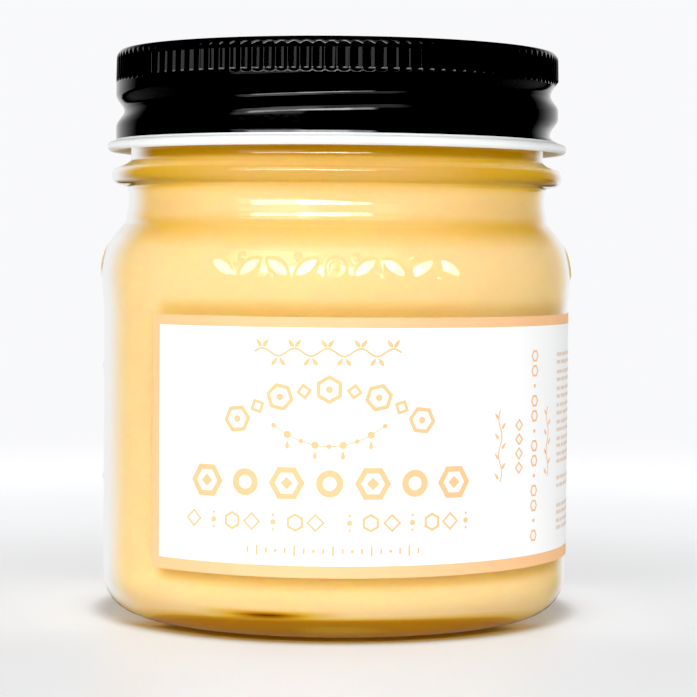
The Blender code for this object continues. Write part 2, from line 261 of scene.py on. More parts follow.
def mould_waves(degrees, height):
    """The slow unevenness of pressed glass, a few hundredths of a millimetre, and the two
    parting lines where the halves of the mould met.
    """
    turn = np.radians(degrees)
    slow = np.sin(3 * turn + 150 * height) * np.sin(310 * height + 0.7)
    slow = slow + 0.6 * np.sin(7 * turn - 420 * height + 1.3)
    chill = np.sin(4300 * height + 1.6 * np.sin(2 * turn)) * bump((height - 0.0645) / 0.0045)
    across = np.minimum(np.abs(degrees % 180.0 - 180.0), degrees % 180.0)
    seam = bump(np.radians(across) * BODY_RADIUS / 0.0004)
    return 0.000014 * slow + 0.00001 * chill + 0.00005 * seam


hollow_outline = np.vstack([
    line((0.0, 0.00455), (0.0200, 0.0042)),
    arc((WALL_RADIUS - 0.00535, 0.00895), (0.00535, 0.00535), -90, 0, 12),
    arc((THROAT_RADIUS, 0.04995), (WALL_RADIUS - THROAT_RADIUS, 0.0131), 0, 66, 14),
    line((0.0312, 0.0628), (0.0306, 0.0642), (0.0301, 0.0660), (0.0298, 0.0685),
         (MOUTH_RADIUS + 0.0001, 0.0720), (MOUTH_RADIUS, RIM_Z - RIM_ROUND)),
])
rim_inner = arc((MOUTH_RADIUS + RIM_ROUND, RIM_Z - RIM_ROUND), (RIM_ROUND, RIM_ROUND), 180, 90, 6)
rim_outer = arc((FINISH_RADIUS - RIM_ROUND, RIM_Z - RIM_ROUND), (RIM_ROUND, RIM_ROUND), 90, 0, 6)
outside_outline = np.vstack([
    line((FINISH_RADIUS, 0.0752), (COLLAR_RADIUS, 0.0739), (COLLAR_RADIUS, 0.07135),
         (0.03335, 0.07105), (0.03385, 0.0708)),
    arc((0.03435, BEAD_Z), (0.00155, 0.0015), 88, -86, 16),
    line((0.0335, 0.06735), (0.03315, 0.0667), (0.03308, 0.0655), (0.0331, 0.0645),
         (0.03322, 0.0638), (0.03338, 0.0632), (0.03345, 0.0627), (0.03348, 0.0622),
         (0.0336, 0.0618), (0.0340, 0.0612)),
    arc(SHOULDER_CENTRE, SHOULDER_RADII, 60, 0, 24),
    line((0.03715, 0.0500), (BODY_RADIUS, 0.0481)),
    arc((BODY_RADIUS - HEEL_RADIUS, HEEL_RADIUS), (HEEL_RADIUS, HEEL_RADIUS), 0, -90, 16),
    line((0.0294, 0.0), (0.02825, 0.0009), (0.0170, 0.00165), (0.0, 0.00185)),
])

inside_rows = rows_along(softened(np.vstack([hollow_outline, rim_inner]), HOLLOW_SOFTNESS),
                         36, 0.6)
outside_rows = rows_along(softened(np.vstack([rim_outer, outside_outline]), GLASS_SOFTNESS),
                          142, focus=((RELIEF_Z, 0.0034, 0.42), (RUNG_HEIGHTS[0], 0.001, 0.05),
                                      (RUNG_HEIGHTS[1], 0.001, 0.05), (0.0645, 0.0035, 0.25),
                                      (0.0724, 0.0018, 0.1)))
glass_section = np.vstack([inside_rows, outside_rows])

# stretches of columns as start, end and count, closest together across the leaves
COLUMN_STRETCHES = ((-119.0, -61.0, 210), (-61.0, -9.5, 26), (-9.5, 9.5, 56), (9.5, 61.0, 26),
                    (61.0, 119.0, 118), (119.0, 170.5, 26), (170.5, 189.5, 56),
                    (189.5, 241.0, 26))
glass_degrees = np.concatenate([np.linspace(start, end, count, endpoint=False)
                                for start, end, count in COLUMN_STRETCHES])
turn_grid = glass_degrees[None, :]
row_height = glass_section[:, 1:2]
is_outside = (np.arange(len(glass_section)) >= len(inside_rows))[:, None]
above_heel = np.clip((row_height - HEEL_RADIUS) / 0.003, 0.0, 1.0)
below_cap = row_height < 0.0735
glass_lift = is_outside * np.where(
    below_cap,
    shoulder_relief(turn_grid, row_height) + above_heel * mould_waves(turn_grid, row_height),
    glass_thread(turn_grid, row_height))
jar_glass = grid_mesh("jar_glass", turned(glass_section, glass_degrees, glass_lift), around=True)


def new_material(name):
    """An empty node material; returns it, its node tree and its Principled shader."""
    made = bpy.data.materials.new(name)
    made.use_nodes = True
    tree = made.node_tree
    tree.nodes.clear()
    shader = tree.nodes.new("ShaderNodeBsdfPrincipled")
    output = tree.nodes.new("ShaderNodeOutputMaterial")
    tree.links.new(shader.outputs["BSDF"], output.inputs["Surface"])
    return made, tree, shader


def mottle_group():
    """A node group that gives a slow cloud and a fine grain over the surface, both 0 to 1."""
    group = bpy.data.node_groups.new("mottle", "ShaderNodeTree")
    group.interface.new_socket("Cloud Scale", in_out="INPUT", socket_type="NodeSocketFloat")
    group.interface.new_socket("Grain Scale", in_out="INPUT", socket_type="NodeSocketFloat")
    group.interface.new_socket("Cloud", in_out="OUTPUT", socket_type="NodeSocketFloat")
    group.interface.new_socket("Grain", in_out="OUTPUT", socket_type="NodeSocketFloat")
    inside = group.nodes.new("NodeGroupInput")
    outside = group.nodes.new("NodeGroupOutput")
    place = group.nodes.new("ShaderNodeTexCoord")
    for scale, result, detail in (("Cloud Scale", "Cloud", 3.0), ("Grain Scale", "Grain", 5.0)):
        noise = group.nodes.new("ShaderNodeTexNoise")
        noise.inputs["Detail"].default_value = detail
        group.links.new(place.outputs["Object"], noise.inputs["Vector"])
        group.links.new(inside.outputs[scale], noise.inputs["Scale"])
        group.links.new(noise.outputs["Fac"], outside.inputs[result])
    return group


MOTTLE = mottle_group()


def mottled(tree, cloud_scale, grain_scale):
    """Places the mottle group in a material and returns its node."""
    node = tree.nodes.new("ShaderNodeGroup")
    node.node_tree = MOTTLE
    node.inputs["Cloud Scale"].default_value = cloud_scale
    node.inputs["Grain Scale"].default_value = grain_scale
    return node


def spread(tree, source, low, high):
    """A value from 0 to 1 spread linearly from low to high."""
    node = tree.nodes.new("ShaderNodeMapRange")
    node.inputs["To Min"].default_value = low
    node.inputs["To Max"].default_value = high
    tree.links.new(source, node.inputs["Value"])
    return node.outputs["Result"]


def bumped(tree, shader, source, distance):
    """Feeds a value into the shader's normal as relief of that depth."""
    node = tree.nodes.new("ShaderNodeBump")
    node.inputs["Distance"].default_value = distance
    tree.links.new(source, node.inputs["Height"])
    tree.links.new(node.outputs["Normal"], shader.inputs["Normal"])


def graded(tree, source, low, high, value_low, value_high):
    """A smooth step from value_low to value_high as the source runs from low to high."""
    node = tree.nodes.new("ShaderNodeMapRange")
    node.interpolation_type = "SMOOTHSTEP"
    node.inputs["From Min"].default_value = low
    node.inputs["From Max"].default_value = high
    node.inputs["To Min"].default_value = value_low
    node.inputs["To Max"].default_value = value_high
    tree.links.new(source, node.inputs["Value"])
    return node.outputs["Result"]


def combined(tree, operation, first, second):
    """Joins two values, or a value and a number, by the named arithmetic."""
    node = tree.nodes.new("ShaderNodeMath")
    node.operation = operation
    tree.links.new(first, node.inputs[0])
    if isinstance(second, float):
        node.inputs[1].default_value = second
    else:
        tree.links.new(second, node.inputs[1])
    return node.outputs[0]


def clear_glass():
    """Clear glass, faintly smudged. Lamps and soft light pass straight through it. A pale glow
    painted on its upright edges stands in for light from behind the jar.
    """
    made, tree, shader = new_material("clear jar glass")
    shader.inputs["Base Color"].default_value = (0.985, 0.99, 0.975, 1.0)
    shader.inputs["Transmission Weight"].default_value = 1.0
    shader.inputs["IOR"].default_value = 1.5
    smudge = mottled(tree, 60.0, 900.0)
    tree.links.new(spread(tree, smudge.outputs["Cloud"], 0.0, 0.06), shader.inputs["Roughness"])
    passing = tree.nodes.new("ShaderNodeBsdfTransparent")
    passing.inputs["Color"].default_value = (0.93, 0.93, 0.92, 1.0)
    rays = tree.nodes.new("ShaderNodeLightPath")
    shadow_or_soft = combined(tree, "MAXIMUM", rays.outputs["Is Shadow Ray"],
                              rays.outputs["Is Diffuse Ray"])
    # painted light: a pale glow mixed into the upright edges for the camera stands in for the light
    # from behind the jar seen through the whole wall
    place = tree.nodes.new("ShaderNodeTexCoord")
    spot = tree.nodes.new("ShaderNodeSeparateXYZ")
    tree.links.new(place.outputs["Object"], spot.inputs[0])
    lean = tree.nodes.new("ShaderNodeSeparateXYZ")
    tree.links.new(place.outputs["Normal"], lean.inputs[0])
    edge = tree.nodes.new("ShaderNodeLayerWeight")
    wide = graded(tree, edge.outputs["Facing"], 0.55, 0.84, 0.0, 0.95)
    narrow = graded(tree, edge.outputs["Facing"], 0.70, 0.93, 0.0, 0.9)
    on_left = graded(tree, spot.outputs["X"], -0.01, 0.01, 1.0, 0.0)
    on_right = graded(tree, spot.outputs["X"], -0.01, 0.01, 0.0, 1.0)
    share = combined(tree, "ADD", combined(tree, "MULTIPLY", wide, on_left),
                     combined(tree, "MULTIPLY", narrow, on_right))
    level = combined(tree, "ABSOLUTE", lean.outputs["Z"], 0.0)
    for mask in (graded(tree, level, 0.5, 0.9, 1.0, 0.0),
                 graded(tree, spot.outputs["Z"], 0.0015, 0.005, 0.0, 1.0),
                 rays.outputs["Is Camera Ray"]):
        share = combined(tree, "MULTIPLY", share, mask)
    painted_veil = tree.nodes.new("ShaderNodeEmission")
    painted_veil.inputs["Color"].default_value = (0.87, 0.88, 0.885, 1.0)
    painted_veil_mix = tree.nodes.new("ShaderNodeMixShader")
    tree.links.new(share, painted_veil_mix.inputs["Fac"])
    tree.links.new(shader.outputs["BSDF"], painted_veil_mix.inputs[1])
    tree.links.new(painted_veil.outputs["Emission"], painted_veil_mix.inputs[2])
    mix = tree.nodes.new("ShaderNodeMixShader")
    tree.links.new(shadow_or_soft, mix.inputs["Fac"])
    tree.links.new(painted_veil_mix.outputs["Shader"], mix.inputs[1])
    tree.links.new(passing.outputs["BSDF"], mix.inputs[2])
    output = tree.nodes["Material Output"]
    tree.links.new(mix.outputs["Shader"], output.inputs["Surface"])
    return made


jar_glass.data.materials.append(clear_glass())
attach(jar_glass, "root")
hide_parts("jar")

# Creamed honey
# Honey churned to a fine, opaque, pale gold cream and poured in soft, so it wets the glass
# all over. Its skin reaches a tenth of a millimetre into the wall, so no air shows.

HONEY_BITE = 0.0001
HONEY_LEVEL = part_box("honey")[1][2]

honey_wall = softened(hollow_outline, HOLLOW_SOFTNESS)
honey_slope = np.gradient(honey_wall, axis=0)
honey_slope /= np.hypot(honey_slope[:, 0], honey_slope[:, 1])[:, None]
honey_wall = honey_wall + HONEY_BITE * np.column_stack([honey_slope[:, 1], -honey_slope[:, 0]])
honey_wall[0, 0] = 0.0
honey_wall = honey_wall[honey_wall[:, 1] < HONEY_LEVEL]
honey_top = line((honey_wall[-1, 0] - 0.0006, HONEY_LEVEL), (0.0, HONEY_LEVEL - 0.0002))
honey_section = rows_along(np.vstack([honey_wall, honey_top]), 170, 0.3,
                           focus=((0.0088, 0.0025, 0.25), (0.0490, 0.0025, 0.25)))
honey_section[0, 0] = 0.0
honey_section[-1, 0] = 0.0
honey_degrees = np.linspace(0.0, 360.0, 180, endpoint=False)
honey = grid_mesh("creamed_honey", turned(honey_section, honey_degrees), around=True)


def ramp(value, start, end):
    """A smooth step from 0 at start to 1 at end, as 3t^2 - 2t^3."""
    t = np.clip((value - start) / (end - start), 0.0, 1.0)
    return t * t * (3.0 - 2.0 * t)


def painted_shade_depth(degrees, height):
    """How deep the painted shade in the honey's colour is: 0 pale, 0.6 deep gold, 0.85 toffee and 1
    brown.
    The shade is painted under the cap, under the shoulder's bend, beside the label's edges and at
    the heel, where the cap, the label's edges or the base keep light out, and as a dark streak low
    at the front's left.
    """
    turn = from_facing(degrees, FRONT)
    behind_label = ramp(turn, -50.0, -45.0) * (1.0 - ramp(turn, 145.0, 150.0))
    sideways = ramp(np.abs(turn + 4.0), 18.0, 55.0)
    under_cap = (0.62 + 0.38 * sideways) * ramp(height, 0.0652, 0.0682)
    under_cap = under_cap + (0.38 - 0.38 * sideways) * ramp(height, 0.0695, 0.0712)
    under_cap = np.maximum(under_cap, 0.3 * sideways * ramp(height, 0.0600, 0.0615))
    under_bend = (0.55 + 0.3 * sideways) * bump((height - 0.0603) / 0.0036)
    above_label = (0.48 - 0.2 * ramp(turn, 20.0, 45.0)) * (1.0 - ramp(height, 0.0486, 0.0507))
    above_label = above_label * ramp(height, 0.0450, 0.0475) * behind_label
    below_label = 0.52 * ramp(height, 0.0070, 0.0086) * (1.0 - ramp(height, 0.0100, 0.0120))
    below_label = below_label * behind_label
    heel = 1.0 - ramp(height, 0.0036, 0.0040)
    deepest_shade = np.maximum(np.maximum(under_cap, under_bend), np.maximum(above_label, below_label))
    browned_shade = 0.24 * (1.0 - ramp(height, 0.0036, 0.0039)) + 0.06 * ramp(height, 0.0695, 0.0710)
    shade_streak = bump((turn + 17.5) / 24.0) * bump((height - 0.0040) / 0.0007)
    return np.maximum(0.6 * np.maximum(deepest_shade, heel) + browned_shade, shade_streak)


honey_points = np.empty(3 * len(honey.data.vertices))
honey.data.vertices.foreach_get("co", honey_points)
honey_points = honey_points.reshape(-1, 3)
honey_turns = np.degrees(np.arctan2(honey_points[:, 1], honey_points[:, 0]))
# the painted shade is stored on the honey's points
painted_shade = honey.data.attributes.new("painted_shade", "FLOAT", "POINT")
painted_shade.data.foreach_set("value", painted_shade_depth(honey_turns, honey_points[:, 2]).astype(np.float32))


def stretched(tree, source, low, high):
    """A value whose range from low to high is stretched to 0 to 1."""
    node = tree.nodes.new("ShaderNodeMapRange")
    node.inputs["From Min"].default_value = low
    node.inputs["From Max"].default_value = high
    tree.links.new(source, node.inputs["Value"])
    return node.outputs["Result"]


def mixed(tree, share, first, second):
    """A colour that goes from first to second as the share goes from 0 to 1."""
    node = tree.nodes.new("ShaderNodeMix")
    node.data_type = "RGBA"
    tree.links.new(share, node.inputs["Factor"])
    for name, colour in (("A", first), ("B", second)):
        if isinstance(colour, tuple):
            node.inputs[name].default_value = colour
        else:
            tree.links.new(colour, node.inputs[name])
    return node.outputs["Result"]


PALE_GOLD = (0.92, 0.62, 0.27, 1.0)
PALE_CREAM = (0.955, 0.70, 0.36, 1.0)
# colours of the painted shade that the honey deepens to, each from the first depth to the second
PAINTED_SHADE_TONES = (
    (0.0, 0.6, (0.77, 0.455, 0.045, 1.0)),
    (0.6, 0.85, (0.46, 0.185, 0.01, 1.0)),
    (0.85, 1.0, (0.05, 0.015, 0.0005, 1.0)),
)


def creamed_honey():
    """Opaque cream with light that runs a few millimetres under its skin, and shade painted into
    its colour.
    """
    made, tree, shader = new_material("creamed honey")
    churn = mottled(tree, 75.0, 2600.0)
    colour = mixed(tree, spread(tree, churn.outputs["Cloud"], 0.1, 0.9), PALE_GOLD, PALE_CREAM)
    depth = tree.nodes.new("ShaderNodeAttribute")
    depth.attribute_name = "painted_shade"
    # painted shade: the stored depth takes the colour towards darker golds, toffee and brown
    for start, end, painted_shade_tone in PAINTED_SHADE_TONES:
        colour = mixed(tree, stretched(tree, depth.outputs["Fac"], start, end), colour, painted_shade_tone)
    tree.links.new(colour, shader.inputs["Base Color"])
    shader.inputs["Subsurface Weight"].default_value = 1.0
    shader.inputs["Subsurface Radius"].default_value = (1.0, 0.5, 0.1)
    shader.inputs["Subsurface Scale"].default_value = 0.003
    shader.inputs["Specular IOR Level"].default_value = 0.0
    shader.inputs["Roughness"].default_value = 0.6
    bumped(tree, shader, churn.outputs["Grain"], 0.00002)
    return made


honey.data.materials.append(creamed_honey())
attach(honey, "root")
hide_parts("honey")

# Screw cap
# One blank of tinplate, black gloss lacquer outside and white coating inside. It is drawn to
# a shallow cup, fluted round the top for grip, rolled with a thread groove and curled
# outward at its edge, so that the curl shows the white inside.

CAP_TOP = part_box("lid")[1][2]
FLUTES = 120
FLUTE_STEPS = 8
FLUTE_DEPTH = 0.00036
FLUTE_FOOT = 0.0837
FLUTE_TOP = 0.0871
CAP_RADIUS = 0.0352
SHEET = 0.0004
SIDE_FOOT = 0.0746
SKIRT_TOP = 0.0842
CURL_CENTRE = (0.0358, 0.07355)
CURL_TUBE = 0.00075
GROOVE_DEPTH = 0.0013
GROOVE_HALF = 0.00255


def flute_depth(degrees, height):
    """How deep the grip's scallops are: round across, arched at the top, faded at the foot."""
    across = 2.0 * np.abs((degrees * FLUTES / 360.0) % 1.0 - 0.5)
    above = np.clip(height - FLUTE_TOP, 0.0, None) / 0.0007
    below = np.clip(FLUTE_FOOT + 0.0004 - height, 0.0, None) / 0.0005
    inside = 1.0 - (across / 0.86) ** 2 - above ** 2 - below ** 2
    draft = 1.05 - 0.05 * np.clip((height - FLUTE_FOOT) / (FLUTE_TOP - FLUTE_FOOT), 0.0, 1.0)
    return FLUTE_DEPTH * draft * np.clip(inside, 0.0, None) ** 0.7


def groove_depth(degrees, height):
    """The rolled thread: a round trough that climbs one pitch a turn and fades at its ends."""
    depth = np.zeros(np.broadcast_shapes(degrees.shape, height.shape))
    for turn in (-2, -1, 0, 1):
        along = degrees + 360.0 * turn
        across = np.clip(np.abs(height - GROOVE_Z - PITCH * along / 360.0) / GROOVE_HALF, 0, 1)
        fade = np.clip(np.minimum(22.0 - along, along + 398.0) / 30.0, 0.0, 1.0)
        fade = fade * fade * (3.0 - 2.0 * fade)
        depth = np.maximum(depth, fade * np.cos(0.5 * np.pi * across) ** 2)
    return GROOVE_DEPTH * depth


cap_top_outline = np.vstack([
    line((0.0, CAP_TOP - 0.0005), (0.0284, CAP_TOP - 0.0005), (0.0294, CAP_TOP)),
    arc((0.03417, CAP_TOP - 0.0013), (0.00095, 0.0013), 90, 0, 16),
])
cap_side_outline = line((0.03512, CAP_TOP - 0.0013), (CAP_RADIUS, FLUTE_FOOT),
                        (CAP_RADIUS, FLUTE_FOOT - 0.0006), (CAP_RADIUS, SIDE_FOOT))
cap_curl_outline = np.vstack([
    line((CAP_RADIUS, SIDE_FOOT)),
    arc(CURL_CENTRE, (CURL_TUBE, CURL_TUBE), 128, -175, 24),
])
cap_inside_outline = line(
    (CURL_CENTRE[0] - CURL_TUBE, CURL_CENTRE[1]), (CAP_RADIUS - SHEET, 0.0748),
    (CAP_RADIUS - SHEET, 0.0832), (0.0345, 0.0840), (0.0345, 0.08785),
    (0.0342, 0.08815), (0.0294, 0.08815), (0.0284, 0.0877), (0.0, 0.0877))
cap_top_rows = rows_along(softened(cap_top_outline, 0.00015), 14, 0.7)[:-1]
cap_side_rows = rows_along(softened(cap_side_outline, 0.0001), 48, 0.2,
                           focus=((FLUTE_TOP + 0.0002, 0.0006, 0.4), (FLUTE_FOOT, 0.0006, 0.2)))
cap_curl_rows = rows_along(cap_curl_outline, 12, 0.5)[1:]
cap_inside_rows = rows_along(softened(cap_inside_outline, 0.00012), 30, 0.1,
                             focus=((0.079, 0.0046, 1.2),))[1:]
cap_section = np.vstack([cap_top_rows, cap_side_rows, cap_curl_rows, cap_inside_rows])
cap_degrees = np.linspace(0.0, 360.0, FLUTES * FLUTE_STEPS, endpoint=False)
outer_count = len(cap_top_rows) + len(cap_side_rows)
curl_end = outer_count + len(cap_curl_rows)
cap_row = np.arange(len(cap_section))[:, None]
cap_height = cap_section[:, 1:2]
is_outer = cap_row < outer_count
is_curl = ~is_outer & (cap_row < curl_end)
is_side = is_outer & (cap_section[:, 0:1] > 0.0345)
# the groove is rolled through the skirt, so it shows outside and inside but not on the curl
is_skirt = (np.abs(cap_section[:, 0:1] - CAP_RADIUS) < 0.0006) & (cap_height < SKIRT_TOP)
is_skirt = is_skirt & ~is_curl
near_curl = np.clip((cap_height - 0.0745) / 0.0007, 0.0, 1.0)
cap_lift = -np.where(is_skirt, near_curl * groove_depth(cap_degrees[None, :], cap_height), 0.0)
cap_lift = cap_lift - np.where(is_side, flute_depth(cap_degrees[None, :], cap_height), 0.0)
# material 0 is the lacquer outside, material 1 the coating inside
cap_faces = np.zeros((len(cap_section) - 1, len(cap_degrees)), dtype=int)
cap_faces[outer_count - 1:] = 1
screw_cap = grid_mesh("screw_cap", turned(cap_section, cap_degrees, cap_lift), around=True,
                      facets=cap_faces)


def black_lacquer():
    """Black stoving lacquer: deep gloss with a trace of orange peel and of handling."""
    made, tree, shader = new_material("black cap lacquer")
    shader.inputs["Base Color"].default_value = (0.0035, 0.0035, 0.0038, 1.0)
    wear = mottled(tree, 140.0, 1500.0)
    tree.links.new(spread(tree, wear.outputs["Cloud"], 0.04, 0.09), shader.inputs["Roughness"])
    shader.inputs["Specular IOR Level"].default_value = 0.3
    bumped(tree, shader, wear.outputs["Grain"], 0.000004)
    return made


def white_coating():
    """The white inside coating, satin and slightly uneven where the curl stretched it."""
    made, tree, shader = new_material("white cap coating")
    wear = mottled(tree, 120.0, 1400.0)
    colour = mixed(tree, wear.outputs["Cloud"], (0.70, 0.72, 0.72, 1.0), (0.80, 0.82, 0.82, 1.0))
    tree.links.new(colour, shader.inputs["Base Color"])
    shader.inputs["Roughness"].default_value = 0.35
    bumped(tree, shader, wear.outputs["Grain"], 0.00001)
    return made


screw_cap.data.materials.append(black_lacquer())
screw_cap.data.materials.append(white_coating())
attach(screw_cap, "root")
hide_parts("lid")

# Paper label
# A strip of coated white paper glued round the body from the front's left to the back's
# right. It is a tenth of a millimetre thick, with square cut corners.

PAPER_THICKNESS = 0.00012
PAPER_RADIUS = BODY_RADIUS + 0.00017
LABEL_LEFT = -137.5
LABEL_RIGHT = 57.0
label_low, label_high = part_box("label")
LABEL_FOOT = label_low[2]
LABEL_TOP = label_high[2]
PANEL_CENTRE = FRONT - 1.3


def wrapped(u, z, lift=0.0):
    """Points on the label: u metres along it from the middle of its front, z up, and lift
    metres above the paper. Each becomes (R cos a, R sin a, z) with a = PANEL_CENTRE + u / R.
    """
    turn = math.radians(PANEL_CENTRE) + u / PAPER_RADIUS
    radius = PAPER_RADIUS + lift
    return np.stack([radius * np.cos(turn), radius * np.sin(turn), z + 0.0 * u], axis=-1)


paper_u = np.radians(np.linspace(LABEL_LEFT, LABEL_RIGHT, 261) - PANEL_CENTRE) * PAPER_RADIUS
paper_z = np.linspace(LABEL_FOOT, LABEL_TOP, 40)
paper_swell = 0.00001 * np.sin(paper_u[None, :] / 0.006) * np.sin(paper_z[:, None] / 0.004)
label = grid_mesh("paper_label", wrapped(*np.meshgrid(paper_u, paper_z), paper_swell))


def outward_share(mesh):
    """How much each face looks away from the jar's axis: its centre times its normal, both
    seen from above. It is negative for a face that looks inwards.
    """
    centre = np.empty(3 * len(mesh.polygons))
    normal = np.empty(3 * len(mesh.polygons))
    mesh.polygons.foreach_get("center", centre)
    mesh.polygons.foreach_get("normal", normal)
    return (centre.reshape(-1, 3)[:, :2] * normal.reshape(-1, 3)[:, :2]).sum(axis=1)


def thickened(piece, thickness):
    """Gives an open sheet its thickness, inwards from the surface that shows."""
    shell = piece.modifiers.new("Thickness", "SOLIDIFY")
    shell.thickness = thickness
    shell.offset = -1.0


if outward_share(label.data).sum() < 0.0:
    label.data.flip_normals()
thickened(label, PAPER_THICKNESS)


def coated_paper():
    """White coated paper with a faint fibre."""
    made, tree, shader = new_material("label paper")
    fibre = mottled(tree, 90.0, 2200.0)
    colour = mixed(tree, fibre.outputs["Cloud"], (0.835, 0.84, 0.84, 1.0),
                   (0.86, 0.865, 0.865, 1.0))
    tree.links.new(colour, shader.inputs["Base Color"])
    tree.links.new(spread(tree, fibre.outputs["Grain"], 0.35, 0.6), shader.inputs["Roughness"])
    bumped(tree, shader, fibre.outputs["Grain"], 0.000012)
    return made


label.data.materials.append(coated_paper())
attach(label, "root")
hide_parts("label")

# Printed border
# The border of the label is a frame of pale apricot ink, printed to the cut edge. It is
# narrow at the left, wider at the foot and runs on round the back.

INK_LIFT = 0.00003
INK_FILM = 0.000012
WHITE_FOOT = 0.01135          # edges of the white panel inside the border
WHITE_TOP = 0.0462
WHITE_LEFT = -0.0284
MILLI = 0.001

paper_left = paper_u[0]
paper_right = paper_u[-1]


def joined_sheets(name, sheets):
    """One mesh from several grids of points, each an open sheet on the label."""
    parts = [grid_mesh(name + " part", sheet) for sheet in sheets]
    build = bmesh.new()
    for part in parts:
        build.from_mesh(part.data)
        old = part.data
        bpy.data.objects.remove(part)
        bpy.data.meshes.remove(old)
    mesh = bpy.data.meshes.new(name)
    build.to_mesh(mesh)
    inward = np.nonzero(outward_share(mesh) < 0.0)[0]
    build.faces.ensure_lookup_table()
    bmesh.ops.reverse_faces(build, faces=[build.faces[i] for i in inward])
    build.to_mesh(mesh)
    build.free()
    mesh.shade_flat()
    piece = bpy.data.objects.new(name, mesh)
    bpy.context.scene.collection.objects.link(piece)
    thickened(piece, INK_FILM)
    return piece


def printed_band(left, right, foot, top):
    """A rectangle of ink: u from left to right in steps of half a millimetre, z foot to top."""
    u = np.linspace(left, right, max(2, int((right - left) / 0.0005)))
    z = np.linspace(foot, top, 2 + int((top - foot) / 0.002))
    return wrapped(*np.meshgrid(u, z), INK_LIFT)


border = joined_sheets("printed_border", [
    printed_band(paper_left, paper_right, WHITE_TOP, LABEL_TOP),
    printed_band(paper_left, paper_right, LABEL_FOOT, WHITE_FOOT),
    printed_band(paper_left, WHITE_LEFT, WHITE_FOOT, WHITE_TOP),
    printed_band(paper_right - 0.0015, paper_right, WHITE_FOOT, WHITE_TOP),
])


def printing_ink(name, low, high):
    """Flat ink that lets a little of the paper's fibre show, between two tones."""
    made, tree, shader = new_material(name)
    press = mottled(tree, 220.0, 3000.0)
    colour = mixed(tree, press.outputs["Cloud"], low, high)
    tree.links.new(colour, shader.inputs["Base Color"])
    tree.links.new(spread(tree, press.outputs["Grain"], 0.4, 0.6), shader.inputs["Roughness"])
    shader.inputs["Specular IOR Level"].default_value = 0.3
    bumped(tree, shader, press.outputs["Grain"], 0.000008)
    return made


apricot_ink = printing_ink("apricot ink", (0.80, 0.455, 0.225, 1.0),
                           (0.83, 0.495, 0.255, 1.0))
border.data.materials.append(apricot_ink)
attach(border, "root")

# Printed ornament
# The print on the front is all ornament in the same ink: a garland, an arch of open cells, a
# hanging string of beads, a bold row and two lighter rows. A narrow strip beside it is
# printed sideways. Its places are in millimetres from the panel's middle and the table.

GARLAND_Z = 42.6
ARCH_TOP = 37.2
ARCH_RADIUS = 23.6
STRING_FOOT = 28.9
STRING_RISE = 3.0
BEAD_SPACING = 2.05
BOLD_Z = 23.45
LIGHT_Z = 17.7
LIGHT_PLACES = (-21.2, -17.7, -14.6, -11.5, -8.2, -4.9, -1.9, 3.1, 6.2, 9.4, 12.5, 15.6, 18.6,
                21.3)
FINE_Z = 13.55
DOT_HOLE = 0.02               # a dot is a ring whose hole is too small to see


def shaped_ring(u, z, inner, outer, radius_at, count=48):
    """A band of ink between inner and outer times an outline given as radius by angle."""
    turns = np.linspace(0.0, 2 * np.pi, count + 1)
    reach = np.array([inner, outer])[:, None] * MILLI * radius_at(turns)[None, :]
    return wrapped(u * MILLI + reach * np.cos(turns), z * MILLI + reach * np.sin(turns), INK_LIFT)


def polygon_outline(sides, lean=0.0):
    """Outline of a regular polygon with corners at distance 1: cos(pi/n) over the cosine of
    the angle from the middle of the side.
    """
    side = 2 * np.pi / sides
    return lambda turns: math.cos(side / 2) / np.cos((turns - lean) % side - side / 2)


def round_outline(turns):
    """A circle of radius 1."""
    return np.ones_like(turns)


def pen_stroke(u, z, width):
    """A line of ink along the path (u, z) in millimetres: the path moved half a width to
    each side of its own direction.
    """
    ahead = np.stack([np.gradient(u), np.gradient(z)])
    ahead = ahead / np.maximum(np.hypot(*ahead), 1e-9)
    side = np.array([-0.5, 0.5])[:, None] * width
    return wrapped((u - side * ahead[1]) * MILLI, (z + side * ahead[0]) * MILLI, INK_LIFT)


def drop(u, z, lean, length, width):
    """A solid drop along t from 0 to 1: its width is sin(pi t^0.7), so its ends are pointed
    and its belly lies nearer to the first.
    """
    t = np.linspace(0.0, 1.0, 16)
    half = np.array([-0.5, 0.5])[:, None] * width * np.sin(np.pi * t ** 0.7)
    lean = math.radians(lean)
    along = length * (t - 0.5)
    return wrapped((u + along * math.cos(lean) - half * math.sin(lean)) * MILLI,
                   (z + along * math.sin(lean) + half * math.cos(lean)) * MILLI, INK_LIFT)


def dot(u, z, radius, count=16):
    """A round spot of ink."""
    return shaped_ring(u, z, DOT_HOLE, radius, round_outline, count)


def garland(left, right, middle):
    """A waving stem, z = middle + 0.55 sin, with a leaf on the outside of each crest."""
    t = np.linspace(0.0, 1.0, 160)
    waves = 4.5
    stem = middle + 0.55 * np.sin(2 * np.pi * waves * t)
    made = [pen_stroke(left + (right - left) * t, stem, 0.3)]
    for k in range(int(2 * waves)):
        u = left + (right - left) * (k + 0.5) / (2 * waves)
        side = 1.0 if k % 2 == 0 else -1.0
        for lean in (-35.0, 35.0):
            shift = 0.55 if lean > 0 else -0.55
            made.append(drop(u + shift, middle + side * 1.35, 90 - side * lean, 1.5, 0.62))
    return made


ornament = garland(-11.2, 10.6, GARLAND_Z)
